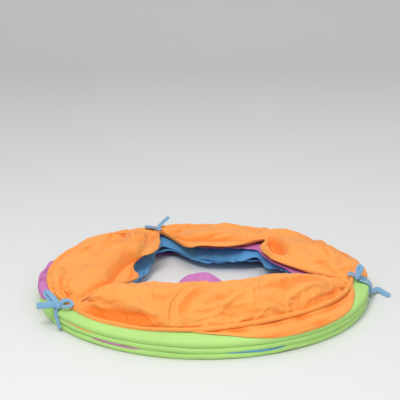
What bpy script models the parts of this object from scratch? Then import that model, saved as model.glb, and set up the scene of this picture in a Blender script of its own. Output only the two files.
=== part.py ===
"""Children's crawl tunnel, packed flat and held shut by three ribbon ties.

One spring wire runs through the whole tunnel. It lies as a stack of turns while the tunnel
is packed, and opens into a long helix. Its first and last turns are crimped to themselves,
so that they make the flat end hoops. Cloth sleeves carry the wire, and between the turns the
cloth folds inwards. Metres, +Z up, the floor at zero.
"""

import math

import bmesh
import bpy
from mathutils import Matrix, Vector

# Spring wire
COIL_RADIUS = 0.2370
MOUTH_DRAW = 0.0150
MOUTH_SHIFT = 0.0055
OPENING_TURNS = 6
WIRE_RADIUS = 0.00125
PACKED_PITCH = 0.0039
CRIMP_ANGLE = math.radians(206.0)
STATIONS = 30
RAMP_SHARE = 0.1
TAPER_START_SHARE = 0.68
TAPER_END_SHARE = 0.86

# Cloth
FIT_GAP = 0.0003
CASING_WALL = 0.0003
SEAM_ALLOWANCE = 0.0040
LAYER_GAP = 0.0008
FOLD_DEPTH = 0.1240
FOLD_WAVE = 0.0060
FOLD_WAVES = 5
PUFF_HEIGHT = 0.0110
PUFF_START = 0.0025
FIRST_FOLD_SHARE = 0.1

# The ribbons pinch the cloth, so between two ties it makes a lobe. Half the width of a pinch,
# and how much of its depth the cloth loses there, in the folds and in the puffed cloth above
PINCH_SPREAD = math.radians(17.0)
FOLD_PINCH_SHARE = 0.42
ROLL_PINCH_SHARE = 0.82

# Puffed cloth at the upper mouth
ROLL_HEIGHT = 0.0300
ROLL_LEAST_HEIGHT = 0.0040
ROLL_OVERHANG = 0.0060
EDGE_STEP = 0.0005
ROLL_PLEAT = 0.0010
ROLL_PLEATS = 17

# Crimp sleeves
SLEEVE_LENGTH = 0.0120
SLEEVE_WALL = 0.00025
SLEEVE_MARGIN = 0.0060
CRIMP_STEPS = 5

# Ribbon ties
TIE_DEGREES = {"left": 218.5, "right": 353.0, "back": 109.0}
RIBBON_WIDTH = 0.0100
RIBBON_THICKNESS = 0.0006
KNOT_WIDTH = 0.0130
KNOT_HEIGHT = 0.0090
KNOT_DEPTH = 0.0080
KNOT_STANDOFF = 0.0010
KNOT_ROUNDING = 0.0025
STRAP_LEAN = 0.0028
STRAP_TUCK = 0.0012
TAB_LENGTH = 0.0060
LOOP_POINTS = 13
TAIL_POINTS = 9
LOOP_OPENING = 0.0028
PIECE_LENGTHS = {
    "left_tie_tail": 0.020,
    "left_tie_long_loop": 0.016,
    "left_tie_short_loop": 0.014,
    "right_tie_tail": 0.038,
    "right_tie_long_loop": 0.018,
    "right_tie_short_loop": 0.010,
    "back_tie_tail": 0.018,
    "back_tie_loop": 0.020,
}

# Tie, face of the knot that the piece leaves, and what it is
PIECE_PLACES = {
    "left_tie_tail": ("left", "backward", "tail"),
    "left_tie_long_loop": ("left", "upward", "loop"),
    "left_tie_short_loop": ("left", "onward", "loop"),
    "right_tie_tail": ("right", "outward", "tail"),
    "right_tie_long_loop": ("right", "backward", "loop"),
    "right_tie_short_loop": ("right", "upward", "loop"),
    "back_tie_tail": ("back", "backward", "tail"),
    "back_tie_loop": ("back", "onward", "loop"),
}
# How far each piece has drifted at its end, as shares of its length
DRIFT_SHARES = {
    "left_tie_tail": (-0.85, -0.60, -0.10),
    "left_tie_long_loop": (-0.50, 0.50, 0.00),
    "left_tie_short_loop": (0.45, -0.10, 0.80),
    "right_tie_tail": (0.00, 0.55, -0.78),
    "right_tie_long_loop": (1.00, -0.20, 0.20),
    "right_tie_short_loop": (0.40, 0.40, 0.00),
    "back_tie_tail": (0.00, 0.22, 0.90),
    "back_tie_loop": (0.00, 0.15, 0.20),
}
# Direction across the ribbon at its far end, where it has twisted on the way
TURNED_SHARES = {
    "left_tie_tail": (-0.30, -0.50, 0.80),
    "right_tie_long_loop": (0.80, 0.10, 0.60),
}

# Lobes from one tie to the next: the left tie's is at the front, the right tie's at the back.
# Height of each lobe's cloth, how far its crest leans towards its first tie, and how much
# further than the others it reaches inwards
ARCH_SHARES = {"left": 1.0, "right": 0.25, "back": 0.15}
ARCH_LEANS = {"left": 0.85, "right": 1.0, "back": 1.0}
ARCH_ROUNDING = 0.5
LOBE_REACHES = {"left": 0.000, "right": 0.018, "back": 0.004}

# Places across a fold inside the sewn edge, and how far the puff lifts its outer edge, the
# circle where the puff starts, and these places
FOLD_SHARES = (0.40, 0.70, 0.93)
LIFT_SHARES = (0.0, 0.0, 0.80, 1.00, 1.00)
# Upper outline of the roll: place across the fold, and height of its crown
ROLL_SHARES = ((0.01, 0.19), (0.07, 0.44), (0.20, 0.79), (0.40, 1.00), (0.62, 1.00), (0.80, 0.72), (0.95, 0.16))

COLOURS = {
    "orange_polyester": (0.92, 0.40, 0.13, 1.0),
    "green_polyester": (0.50, 0.74, 0.27, 1.0),
    "purple_polyester": (0.58, 0.20, 0.46, 1.0),
    "blue_polyester": (0.10, 0.24, 0.46, 1.0),
    "ribbon_blue": (0.20, 0.38, 0.58, 1.0),
    "spring_steel": (0.55, 0.56, 0.58, 1.0),
    "crimp_steel": (0.70, 0.71, 0.73, 1.0),
}
METALS = ("spring_steel", "crimp_steel")
SHARP_ANGLE = math.radians(40)
ROUNDING = 1e-6

WIRE_TURNS = OPENING_TURNS + 2
CASING_HOLLOW = WIRE_RADIUS + FIT_GAP
CASING_HALF = CASING_HOLLOW + CASING_WALL
STEP = 1 / STATIONS
# Each tie lies on the corner of the facets that is nearest to its own place
WEDGE = math.tau / STATIONS
TIE_ANGLES = {
    name: CRIMP_ANGLE + WEDGE * round((math.radians(degrees) - CRIMP_ANGLE) / WEDGE)
    for name, degrees in TIE_DEGREES.items()
}
SEAM_SHARE = FIT_GAP / (2 * math.tau * (COIL_RADIUS - FOLD_DEPTH - FOLD_WAVE))
SLEEVE_START_SHARE = SLEEVE_MARGIN / (math.tau * COIL_RADIUS)
SLEEVE_SHARE = SLEEVE_LENGTH / (math.tau * COIL_RADIUS)
PUFF_RADIUS = COIL_RADIUS - MOUTH_DRAW - MOUTH_SHIFT - SEAM_ALLOWANCE - PUFF_START
STRAP_RADIUS = COIL_RADIUS + CASING_HALF + FIT_GAP + RIBBON_THICKNESS / 2
CASING_START_SHARE = SLEEVE_START_SHARE + SLEEVE_SHARE + FIT_GAP / COIL_RADIUS


def material(name):
    """Return the named finish, made once."""
    found = bpy.data.materials.get(name)
    if found:
        return found
    made = bpy.data.materials.new(name)
    made.use_nodes = True
    shader = made.node_tree.nodes["Principled BSDF"]
    shader.inputs["Base Color"].default_value = COLOURS[name]
    metal = name in METALS
    shader.inputs["Metallic"].default_value = 1.0 if metal else 0.0
    shader.inputs["Roughness"].default_value = 0.35 if metal else 0.65
    made.diffuse_color = COLOURS[name]
    return made


def smooth(share):
    """Ease from 0 to 1."""
    clipped = min(max(share, 0.0), 1.0)
    return clipped * clipped * (3 - 2 * clipped)


def turn_angle(turn):
    """Angle of the wire after so many turns; it climbs clockwise, seen from above."""
    return CRIMP_ANGLE - math.tau * turn


def turn_height(turn):
    """Height of the packed wire's centre line: flat end hoops, an even climb between."""
    last = WIRE_TURNS - 1
    if turn < 1:
        climb = max(0.0, turn - 1 + RAMP_SHARE) / RAMP_SHARE
    elif turn > last:
        climb = last + min(1.0, (turn - last) / RAMP_SHARE)
    else:
        climb = turn
    return CASING_HALF + PACKED_PITCH * climb


def drawn_radius(angle, share):
    """Radius where the wire is drawn in by a share: at the mouth the hoop also lies aside."""
    return COIL_RADIUS - share * (MOUTH_DRAW + MOUTH_SHIFT * math.cos(angle))


def turn_radius(turn):
    """Radius of the wire, drawn in a little towards the upper mouth."""
    share = (turn / WIRE_TURNS - TAPER_START_SHARE) / (TAPER_END_SHARE - TAPER_START_SHARE)
    return drawn_radius(turn_angle(turn), smooth(share))


def at(angle, radius, height):
    return Vector((radius * math.cos(angle), radius * math.sin(angle), height))


def lobe(angle):
    """The tie where the lobe at an angle begins, and the share of the lobe that lies before it."""
    names = sorted(TIE_ANGLES, key=lambda name: (TIE_ANGLES[name] - angle) % math.tau)
    after, before = names[0], names[-1]
    gap = (TIE_ANGLES[after] - TIE_ANGLES[before]) % math.tau
    return before, ((angle - TIE_ANGLES[before]) % math.tau) / gap


def arch(angle):
    """How high the cloth stands at an angle: nothing at a tie, most midway between two."""
    tie, share = lobe(angle)
    return ARCH_SHARES[tie] * max(0.0, math.sin(math.pi * share ** ARCH_LEANS[tie])) ** ARCH_ROUNDING


def pinch(angle):
    """How tightly the nearest ribbon holds the cloth: 1 at the tie, 0 away from it."""
    away = min(abs((angle - tie + math.pi) % math.tau - math.pi) for tie in TIE_ANGLES.values())
    return 1 - smooth(away / PINCH_SPREAD)


def cut_ring(turn, ring_at):
    """Ring between two of the shared stations, on the straight facet that joins them."""
    index = math.floor(turn / STEP + ROUNDING)
    pairs = zip(ring_at(index * STEP), ring_at((index + 1) * STEP))
    return [near.lerp(far, turn / STEP - index) for near, far in pairs]


def faceted(first, last, ring_at):
    """Rings at the shared stations from one place on the coil to another, both ends cut."""
    inner = range(math.floor(first / STEP + ROUNDING) + 1, math.ceil(last / STEP - ROUNDING))
    rings = [ring_at(index * STEP) for index in inner]
    return [cut_ring(first, ring_at)] + rings + [cut_ring(last, ring_at)]


def add_object(name, mesh, finish, parent):
    made = bpy.data.objects.new(name, mesh)
    bpy.context.collection.objects.link(made)
    made.data.materials.append(material(finish))
    made.parent = parent
    return made


def closed_mesh(shape, name):
    """Turn the faces outwards and write the shape to a new mesh."""
    bmesh.ops.recalc_face_normals(shape, faces=shape.faces)
    if shape.calc_volume(signed=True) < 0:
        bmesh.ops.reverse_faces(shape, faces=shape.faces)
    mesh = bpy.data.meshes.new(name)
    shape.to_mesh(mesh)
    shape.free()
    mesh.shade_smooth()
    mesh.set_sharp_from_angle(angle=SHARP_ANGLE)
    return mesh


def swept(name, rings, finish, parent):
    """Skin equal rings of points into one closed body; a split runs from outside inwards."""
    shape = bmesh.new()
    grid = [[shape.verts.new(point) for point in ring] for ring in rings]
    size = len(grid[0])
    for low, high in zip(grid, grid[1:]):
        for index in range(size):
            after = (index + 1) % size
            inward = low[after].co.xy.length < low[index].co.xy.length
            if inward:
                shape.faces.new((low[index], low[after], high[after]))
                shape.faces.new((low[index], high[after], high[index]))
            else:
                shape.faces.new((low[index], low[after], high[index]))
                shape.faces.new((low[after], high[after], high[index]))
    shape.faces.new(list(reversed(grid[0])))
    shape.faces.new(grid[-1])
    return add_object(name, closed_mesh(shape, name), finish, parent)


def spring_coil(parent):
    """One unbroken wire: a flat hoop, the turns that open, and the other hoop."""
    curve = bpy.data.curves.new("spring_coil", "CURVE")
    curve.dimensions = "3D"
    curve.bevel_depth = WIRE_RADIUS
    curve.bevel_resolution = 1
    curve.use_fill_caps = True
    count = WIRE_TURNS * STATIONS + 1
    turns = [index * STEP for index in range(count)]
    points = [at(turn_angle(turn), turn_radius(turn), turn_height(turn)) for turn in turns]
    spline = curve.splines.new("POLY")
    spline.points.add(count - 1)
    for target, point in zip(spline.points, points):
        target.co = (*point, 1.0)
    gaps = [(points[index + STATIONS] - points[index]).length for index in range(count - STATIONS)]
    print(f"least gap of the wire to itself: {(min(gaps) - 2 * WIRE_RADIUS) * 1000:.2f} mm")
    made = bpy.data.objects.new("spring_coil", curve)
    bpy.context.collection.objects.link(made)
    curve.materials.append(material("spring_steel"))
    made.parent = parent
    return made


def casing(name, first, last, finish, parent):
    """Cloth sleeve of one turn: a C around the wire, its two edges sewn to the folds."""
    outline = (
        (-SEAM_ALLOWANCE, -CASING_HALF),
        (CASING_HALF, -CASING_HALF),
        (CASING_HALF, CASING_HALF),
        (-SEAM_ALLOWANCE, CASING_HALF),
        (-SEAM_ALLOWANCE, CASING_HOLLOW),
        (CASING_HOLLOW, CASING_HOLLOW),
        (CASING_HOLLOW, -CASING_HOLLOW),
        (-SEAM_ALLOWANCE, -CASING_HOLLOW),
    )

    def ring_at(turn):
        radius = turn_radius(turn)
        height = turn_height(turn)
        return [at(turn_angle(turn), radius + out, height + up) for out, up in outline]

    return swept(name, faceted(first, last, ring_at), finish, parent)


def crimp_sleeve(name, turn, finish, parent):
    """Flattened steel tube that grips the wire's end and the turn above or below it."""

    def stadium(station, bore):
        radius = turn_radius(turn)
        low = turn_height(turn)
        high = turn_height(turn + 1)
        arc = [math.pi * step / CRIMP_STEPS for step in range(CRIMP_STEPS + 1)]
        upper = [(bore * math.cos(bend), high + bore * math.sin(bend)) for bend in arc]
        lower = [(-bore * math.cos(bend), low - bore * math.sin(bend)) for bend in arc]
        return [at(turn_angle(station), radius + out, height) for out, height in upper + lower]

    shape = bmesh.new()
    loops = []
    for end in (turn - SLEEVE_SHARE / 2, turn + SLEEVE_SHARE / 2):
        for bore in (CASING_HOLLOW + SLEEVE_WALL, CASING_HOLLOW):
            ring = cut_ring(end, lambda station: stadium(station, bore))
            loops.append([shape.verts.new(point) for point in ring])
    for first, second in ((0, 2), (3, 1), (1, 0), (2, 3)):
        outer = loops[first]
        inner = loops[second]
        for index in range(len(outer)):
            after = (index + 1) % len(outer)
            shape.faces.new((outer[index], outer[after], inner[after], inner[index]))
    return add_object(name, closed_mesh(shape, name), finish, parent)


def fold_depth(angle, section):
    """Reach of a fold, a little uneven round the ring and from fold to fold."""
    tie, share = lobe(angle)
    reach = LOBE_REACHES[tie] * math.sin(math.pi * share) ** 2
    return FOLD_DEPTH + reach + FOLD_WAVE * math.sin(FOLD_WAVES * angle + 2 * section)


def fold_outer(turn):
    """Where the cloth of a fold leaves the sleeves of the two turns that it joins."""
    return min(turn_radius(turn), turn_radius(turn + 1)) - SEAM_ALLOWANCE - FIT_GAP


def fold_places(turn, depth, reach=1.0):
    """Radii across a fold from its outer edge, fixed for all the folds but for the ends."""
    held = reach * (1 - FOLD_PINCH_SHARE * pinch(turn_angle(turn)))
    places = [fold_outer(turn), PUFF_RADIUS]
    places += [COIL_RADIUS - FOLD_DEPTH * held * share for share in FOLD_SHARES[:-1]]
    places.append(COIL_RADIUS - depth * held * FOLD_SHARES[-1])
    return places, COIL_RADIUS - depth * held


def fold(section, finish, parent):
    """Cloth between two turns, folded inwards: two layers that lie on each other."""
    lowest = section == 0
    first = section + (FIRST_FOLD_SHARE if lowest else SEAM_SHARE)

    def ring_at(turn):
        angle = turn_angle(turn)
        reach = turn if lowest else 1.0
        lift = 0.0 if lowest else PUFF_HEIGHT * arch(angle)
        places, tip = fold_places(turn, fold_depth(angle, section), reach)
        low = turn_height(turn) + LAYER_GAP / 2
        high = turn_height(turn + 1) - LAYER_GAP / 2
        if lowest:
            high = min(high, low + PACKED_PITCH)
        ups = [lift * share for share in LIFT_SHARES]
        ring = [at(angle, radius, low + up) for radius, up in zip(places, ups)]
        ring.append(at(angle, tip, (low + high) / 2 + lift))
        ring += [at(angle, radius, high + up) for radius, up in reversed(list(zip(places, ups)))]
        return ring

    rings = faceted(first, section + 1 - SEAM_SHARE, ring_at)
    return swept(f"fold_{section + 1}", rings, finish, parent)


def lifted(radius, places):
    """How much of the puff's lift a layer has at a radius."""
    if radius <= places[-1]:
        return LIFT_SHARES[-1]
    for (outer, low), (inner, high) in zip(zip(places, LIFT_SHARES), zip(places[1:], LIFT_SHARES[1:])):
        if radius >= inner:
            return low + (high - low) * (outer - radius) / (outer - inner)


def mouth_roll(parent):
    """Loose cloth of the last fold, puffed over the upper hoop and drawn down at the ties."""
    section = OPENING_TURNS

    def ring_at(turn):
        angle = turn_angle(turn)
        swell = arch(angle)
        pleat = ROLL_PLEAT * math.sin(ROLL_PLEATS * angle) * (1 - pinch(angle))
        lift = PUFF_HEIGHT * swell
        places, tip = fold_places(turn, fold_depth(angle, section))
        outer = places[0]
        tip += (outer - tip) * ROLL_PINCH_SHARE * pinch(angle)
        low = turn_height(turn) + LAYER_GAP / 2
        rim = turn_height(WIRE_TURNS) + CASING_HALF
        crown = ROLL_LEAST_HEIGHT + (ROLL_HEIGHT - ROLL_LEAST_HEIGHT) * swell + pleat
        ring = []
        for index, place in enumerate(places):
            radius = max(place, tip + EDGE_STEP * (len(places) - index))
            ring.append(at(angle, radius, low + lift * lifted(radius, places)))
        ring.append(at(angle, tip - ROLL_OVERHANG / 2, low + lift + crown / 3))
        for across, height in reversed(ROLL_SHARES):
            radius = outer - (outer - tip) * across
            ring.append(at(angle, radius, rim + lift * across + crown * height))
        return ring

    rings = faceted(section + SEAM_SHARE, section + 1 - SEAM_SHARE, ring_at)
    return swept("mouth_roll", rings, "orange_polyester", parent)


def tie_frame(name):
    """Outward, sideways and upward directions at a tie."""
    angle = TIE_ANGLES[name]
    outward = Vector((math.cos(angle), math.sin(angle), 0.0))
    return outward, Vector((-outward.y, outward.x, 0.0)), Vector((0.0, 0.0, 1.0))


def knot_centre(name):
    """The knot lies against the outside of the upper hoop, level with it."""
    hem = drawn_radius(TIE_ANGLES[name], 1.0) + CASING_HALF + FIT_GAP
    centre = tie_frame(name)[0] * (hem + KNOT_STANDOFF + KNOT_DEPTH / 2)
    centre.z = turn_height(WIRE_TURNS)
    return centre


def tie_knot(name, parent):
    outward, sideways, upward = tie_frame(name)
    centre = knot_centre(name)
    shape = bmesh.new()
    bmesh.ops.create_cube(shape, size=1.0, matrix=Matrix.Diagonal((KNOT_DEPTH, KNOT_WIDTH, KNOT_HEIGHT, 1.0)))
    bmesh.ops.bevel(
        shape, geom=list(shape.edges), offset=KNOT_ROUNDING, segments=2, affect="EDGES", profile=0.5
    )
    for vert in shape.verts:
        out, side, up = vert.co
        vert.co = centre + outward * out + sideways * side + upward * up
    title = f"{name}_tie_knot"
    return add_object(title, closed_mesh(shape, title), "ribbon_blue", parent)


def ribbon(name, points, widths, parent, ends=(None, None)):
    """Flat tape along a path, lying across it in the given directions, its ends cut square."""
    rings = []
    for index, (point, across) in enumerate(zip(points, widths)):
        before = points[max(index - 1, 0)]
        after = points[min(index + 1, len(points) - 1)]
        along = (after - before).normalized()
        if index == 0 and ends[0]:
            along = ends[0]
        if index == len(points) - 1 and ends[1]:
            along = ends[1]
        wide = (across - along * across.dot(along)).normalized() * RIBBON_WIDTH / 2
        thick = along.cross(wide).normalized() * RIBBON_THICKNESS / 2
        rings.append([point + wide + thick, point + wide - thick, point - wide - thick, point - wide + thick])
    return swept(name, rings, "ribbon_blue", parent)


def tie_piece(name, parent):
    """A loop or a tail, square to the face of the knot that it leaves, then drifting."""
    tie, face, kind = PIECE_PLACES[name]
    outward, sideways, upward = tie_frame(tie)
    faces = {
        "onward": (sideways, KNOT_WIDTH, upward),
        "backward": (-sideways, KNOT_WIDTH, upward),
        "upward": (upward, KNOT_HEIGHT, sideways),
        "outward": (outward, KNOT_DEPTH, sideways),
    }
    heading, size, across = faces[face]
    start = knot_centre(tie) + heading * (size / 2 + FIT_GAP)
    length = PIECE_LENGTHS[name]
    drift = Vector(DRIFT_SHARES[name]) * length
    aside = heading.cross(across)
    turned = Vector(TURNED_SHARES.get(name, across))
    feet = RIBBON_THICKNESS / 2 + FIT_GAP
    count = LOOP_POINTS if kind == "loop" else TAIL_POINTS
    points = []
    widths = []
    for index in range(count):
        share = index / (count - 1)
        reach = math.sin(math.pi * share) if kind == "loop" else share
        point = start + heading * length * reach + drift * reach * reach
        if kind == "loop":
            point += aside * (LOOP_OPENING * math.sin(math.tau * share) + feet * (1 - 2 * share))
        points.append(point)
        widths.append(across.lerp(turned, reach * reach))
    return ribbon(name, points, widths, parent, (heading, -heading if kind == "loop" else None))


def tie_straps(name, parent):
    """The sewn-on ribbons: one up the outside of the stack, one on top of the upper hem."""
    outward, sideways, upward = tie_frame(name)
    knot = knot_centre(name)
    head = knot.z - KNOT_HEIGHT / 2 - FIT_GAP
    face = knot.dot(outward) + KNOT_DEPTH / 2 - STRAP_TUCK
    lower = [
        outward * STRAP_RADIUS + upward * FIT_GAP,
        outward * STRAP_RADIUS + upward * (head - STRAP_LEAN),
        outward * face + upward * head,
    ]
    crown = upward * (knot.z + CASING_HALF + FIT_GAP + RIBBON_THICKNESS / 2)
    end = knot.dot(outward) - KNOT_DEPTH / 2 - FIT_GAP
    upper = [outward * (end - TAB_LENGTH) + crown, outward * end + crown]
    ribbon(f"{name}_tie_lower_strap", lower, [sideways] * len(lower), parent, (upward, upward))
    ribbon(f"{name}_tie_upper_strap", upper, [sideways] * len(upper), parent)


def stand_on_origin(axis):
    """Move the tunnel's axis so that the whole part stands centred over the origin."""
    corners = [vert.co for piece in axis.children if piece.type == "MESH" for vert in piece.data.vertices]
    for index in (0, 1):
        values = [corner[index] for corner in corners]
        axis.location[index] = -(min(values) + max(values)) / 2


def build():
    for old in list(bpy.data.objects):
        bpy.data.objects.remove(old, do_unlink=True)
    axis = bpy.data.objects.new("tunnel_axis", None)
    bpy.context.collection.objects.link(axis)
    spring_coil(axis)
    crimp_sleeve("bottom_crimp_sleeve", SLEEVE_START_SHARE + SLEEVE_SHARE / 2, "crimp_steel", axis)
    crimp_sleeve("top_crimp_sleeve", WIRE_TURNS - 1 - SLEEVE_START_SHARE - SLEEVE_SHARE / 2, "crimp_steel", axis)
    casing("bottom_hem", CASING_START_SHARE, 1 - SEAM_SHARE, "green_polyester", axis)
    for turn in range(1, OPENING_TURNS + 1):
        first = turn + (CASING_START_SHARE if turn == 1 else SEAM_SHARE)
        last = turn + 1 - (CASING_START_SHARE if turn == OPENING_TURNS else SEAM_SHARE)
        casing(f"wire_sleeve_{turn}", first, last, "green_polyester", axis)
    casing("mouth_hem", WIRE_TURNS - 1 + SEAM_SHARE, WIRE_TURNS - CASING_START_SHARE, "orange_polyester", axis)
    colours = ("purple", "blue", "orange", "green", "blue", "purple")
    for section, colour in enumerate(colours):
        fold(section, f"{colour}_polyester", axis)
    mouth_roll(axis)
    for tie in TIE_ANGLES:
        tie_straps(tie, axis)
        tie_knot(tie, axis)
    for piece in PIECE_PLACES:
        tie_piece(piece, axis)
    stand_on_origin(axis)


build()
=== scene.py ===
"""Children's crawl tunnel, packed flat and tied: the cloth, ribbons and wire that show.

Every cloth piece between two turns of the wire is stored twice, as it lies when the tunnel
is packed and as it hangs when the tunnel is open, and a modifier passes from one to the
other as far as the tunnel is drawn out. Metres, +Z up, in the frame of the CAD model.
"""

import math

import bmesh
import bpy
import numpy as np
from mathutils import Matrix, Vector, noise


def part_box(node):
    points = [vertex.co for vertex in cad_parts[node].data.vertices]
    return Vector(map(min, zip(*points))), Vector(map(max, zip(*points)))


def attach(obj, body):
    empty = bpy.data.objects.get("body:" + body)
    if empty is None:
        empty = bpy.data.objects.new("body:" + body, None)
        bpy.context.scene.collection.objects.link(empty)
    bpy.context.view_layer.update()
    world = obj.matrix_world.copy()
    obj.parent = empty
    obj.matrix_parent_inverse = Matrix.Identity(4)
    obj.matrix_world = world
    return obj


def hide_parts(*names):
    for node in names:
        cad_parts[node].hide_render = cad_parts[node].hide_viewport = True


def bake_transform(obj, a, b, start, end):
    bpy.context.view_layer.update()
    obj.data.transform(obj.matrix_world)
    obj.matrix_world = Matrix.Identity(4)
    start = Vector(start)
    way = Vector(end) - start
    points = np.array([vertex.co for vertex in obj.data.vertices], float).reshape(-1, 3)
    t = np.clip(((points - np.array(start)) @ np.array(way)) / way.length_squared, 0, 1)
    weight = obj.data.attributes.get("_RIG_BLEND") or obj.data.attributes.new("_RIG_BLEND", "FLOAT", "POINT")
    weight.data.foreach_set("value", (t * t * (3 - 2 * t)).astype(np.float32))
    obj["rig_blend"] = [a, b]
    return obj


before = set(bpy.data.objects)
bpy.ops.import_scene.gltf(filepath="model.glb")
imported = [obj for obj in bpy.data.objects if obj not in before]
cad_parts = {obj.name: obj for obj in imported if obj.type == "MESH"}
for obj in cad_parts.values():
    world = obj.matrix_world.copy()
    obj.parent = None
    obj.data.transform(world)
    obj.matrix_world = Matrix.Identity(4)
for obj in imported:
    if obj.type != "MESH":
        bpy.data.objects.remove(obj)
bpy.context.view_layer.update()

# Keys, creases, ribbons and knots are in degrees, millimetres and percent of the way across the
# cloth. Every other length is in metres.
MM = 0.001
PERCENT = 0.01

# The wire, as in the CAD model
COIL_RADIUS = 0.2370
MOUTH_DRAW = 0.0150
MOUTH_SHIFT = 0.0055
MOUTH_RADIUS = COIL_RADIUS - MOUTH_DRAW
OPENING_TURNS = 6
WIRE_TURNS = OPENING_TURNS + 2
WIRE_RADIUS = 0.00125
PACKED_PITCH = 0.0039
CRIMP_ANGLE = math.radians(206.0)
CASING_HALF = 0.00185
RAMP_SHARE = 0.1
TAPER_START_SHARE = 0.68
TAPER_END_SHARE = 0.86
SEAM_ALLOWANCE = 0.0040
FOLD_DEPTH = 0.1240
TRAVEL = 1.45

TIES = {"left": math.radians(218.0), "right": math.radians(350.0), "back": math.radians(110.0)}

LOW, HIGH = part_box("wire_sleeve_2")
AXIS = Vector(((LOW[0] + HIGH[0]) / 2, (LOW[1] + HIGH[1]) / 2, 0.0))

# A stretchy piece keeps its share of the travel in the height of its base mesh
SPREAD = 0.02

CLOTH_THICKNESS = 0.0003
# How far inside the wire's centre line the open cloth hangs, how deep its creases are, and the
# mean radius of the folded cloth
OPEN_INSET = 0.0035
OPEN_CREASE = 0.0016
FOLDED_RADIUS = 0.18

COLOURS = {
    "orange": (0.93, 0.355, 0.078),
    "green": (0.45, 0.73, 0.215),
    "purple": (0.56, 0.185, 0.46),
    "blue": (0.105, 0.34, 0.66),
    "ribbon": (0.19, 0.40, 0.62),
}


# Small helpers


def smooth(share):
    clipped = min(max(share, 0.0), 1.0)
    return clipped * clipped * (3 - 2 * clipped)


def turn_angle(turn):
    return CRIMP_ANGLE - math.tau * turn


def around(angle, keys):
    """Periodic lengths at an angle, on a smooth curve through keys of degrees and millimetres."""
    place = math.degrees(angle) % 360
    keys = sorted(keys)
    count = len(keys)
    index = max((number for number in range(count) if keys[number][0] <= place), default=count - 1)
    spots = []
    for offset in (-1, 0, 1, 2):
        wraps, number = divmod(index + offset, count)
        spots.append((keys[number][0] + 360 * wraps, keys[number][1:]))
    if place < spots[1][0]:
        place += 360
    (before, one), (start, two), (end, three), (after, four) = spots
    part = (place - start) / (end - start)
    found = []
    for a, b, c, d in zip(one, two, three, four):
        leaving = 0.0 if (c - b) * (b - a) <= 0 else (c - a) / (end - before) * (end - start)
        arriving = 0.0 if (d - c) * (c - b) <= 0 else (d - b) / (after - start) * (end - start)
        value = b * (1 + 2 * part) * (1 - part) ** 2 + leaving * part * (1 - part) ** 2
        value += c * part**2 * (3 - 2 * part) + arriving * part**2 * (part - 1)
        found.append(value * MM)
    return found


# By angle: how far the upper hoop stands outside its circle and above its level, where it is bent
HOOP_KEYS = (
    (20, 0, 0), (110, 0, 0), (180, 0, 0), (210, -1, 0), (222, 2, -0.5), (235, 5, -1.5), (245, 4.5, -1.5),
    (252, 3, -1), (262, 0, 0), (270, -1, 0.5), (279, -3, 2.5), (290, -4, 3.5), (300, -5, 4),
    (308, -4.8, 3.4), (318, -3, 2), (330, -1, 1), (345, 0, 0),
)
HOOP_BENDS = np.array([around(math.radians(place), HOOP_KEYS) for place in range(360)])


def hoop_bend(angle):
    """Radius and height to add to the upper hoop at an angle."""
    place = math.degrees(angle) % 360
    low = int(place) % 360
    return HOOP_BENDS[low] * (1 - place % 1) + HOOP_BENDS[(low + 1) % 360] * (place % 1)


def turn_height(turn):
    last = WIRE_TURNS - 1
    if turn < 1:
        climb = max(0.0, turn - 1 + RAMP_SHARE) / RAMP_SHARE
    elif turn > last:
        climb = last + min(1.0, (turn - last) / RAMP_SHARE)
    else:
        climb = turn
    bend = hoop_bend(turn_angle(turn))[1] * max(0.0, climb - last)
    return CASING_HALF + PACKED_PITCH * climb + bend


def drawn_radius(angle, share):
    return COIL_RADIUS - share * (MOUTH_DRAW + MOUTH_SHIFT * math.cos(angle) - hoop_bend(angle)[0])


def turn_radius(turn):
    share = (turn / WIRE_TURNS - TAPER_START_SHARE) / (TAPER_END_SHARE - TAPER_START_SHARE)
    return drawn_radius(turn_angle(turn), smooth(share))


def turn_share(turn):
    """Share of the travel that the wire has at a turn when the tunnel is open."""
    return min(max((turn - 1) / OPENING_TURNS, 0.0), 1.0)


def at(angle, radius, height):
    return AXIS + Vector((radius * math.cos(angle), radius * math.sin(angle), height))


def ring_noise(angle, scale, level):
    """Soft noise round the tunnel, from -1 to 1."""
    return noise.noise(Vector((math.cos(angle) * scale, math.sin(angle) * scale, level)))


def catmull(points, share):
    """Point on a smooth curve through equally spaced points."""
    spans = len(points) - 1
    place = min(max(share, 0.0), 1.0) * spans
    index = min(int(place), spans - 1)
    part = place - index
    before = points[max(index - 1, 0)]
    one, two = points[index], points[index + 1]
    after = points[min(index + 2, spans)]
    found = []
    for a, b, c, d in zip(before, one, two, after):
        found.append(
            0.5 * (2 * b + (c - a) * part + (2 * a - 5 * b + 4 * c - d) * part**2
                   + (3 * b - a - 3 * c + d) * part**3)
        )
    return found


# Materials


def node(tree, kind, inputs=None, **settings):
    """New node with its settings, then the values of its inputs."""
    made = tree.nodes.new(kind)
    for title, value in settings.items():
        setattr(made, title, value)
    for title, value in (inputs or {}).items():
        made.inputs[title].default_value = value
    return made


def node_material(name, values):
    """Material with values for its surface; returns it, its node tree and its surface node."""
    made = bpy.data.materials.new(name)
    made.use_nodes = True
    shader = made.node_tree.nodes["Principled BSDF"]
    for title, value in values.items():
        shader.inputs[title].default_value = value
    return made, made.node_tree, shader


def link(tree, source, output, target, entry):
    tree.links.new(source.outputs[output], target.inputs[entry])


def shade(colour, strength):
    return [min(value * strength, 1) for value in colour]


def tone_ramp(tree, texture, dark, light, ends=(0.0, 1.0)):
    """Colour between a dark and a light one, where a texture says."""
    ramp = node(tree, "ShaderNodeValToRGB")
    for element, position, colour in zip(ramp.color_ramp.elements, ends, (dark, light)):
        element.position = position
        element.color = (*colour, 1)
    link(tree, texture, "Fac", ramp, "Fac")
    return ramp


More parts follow.
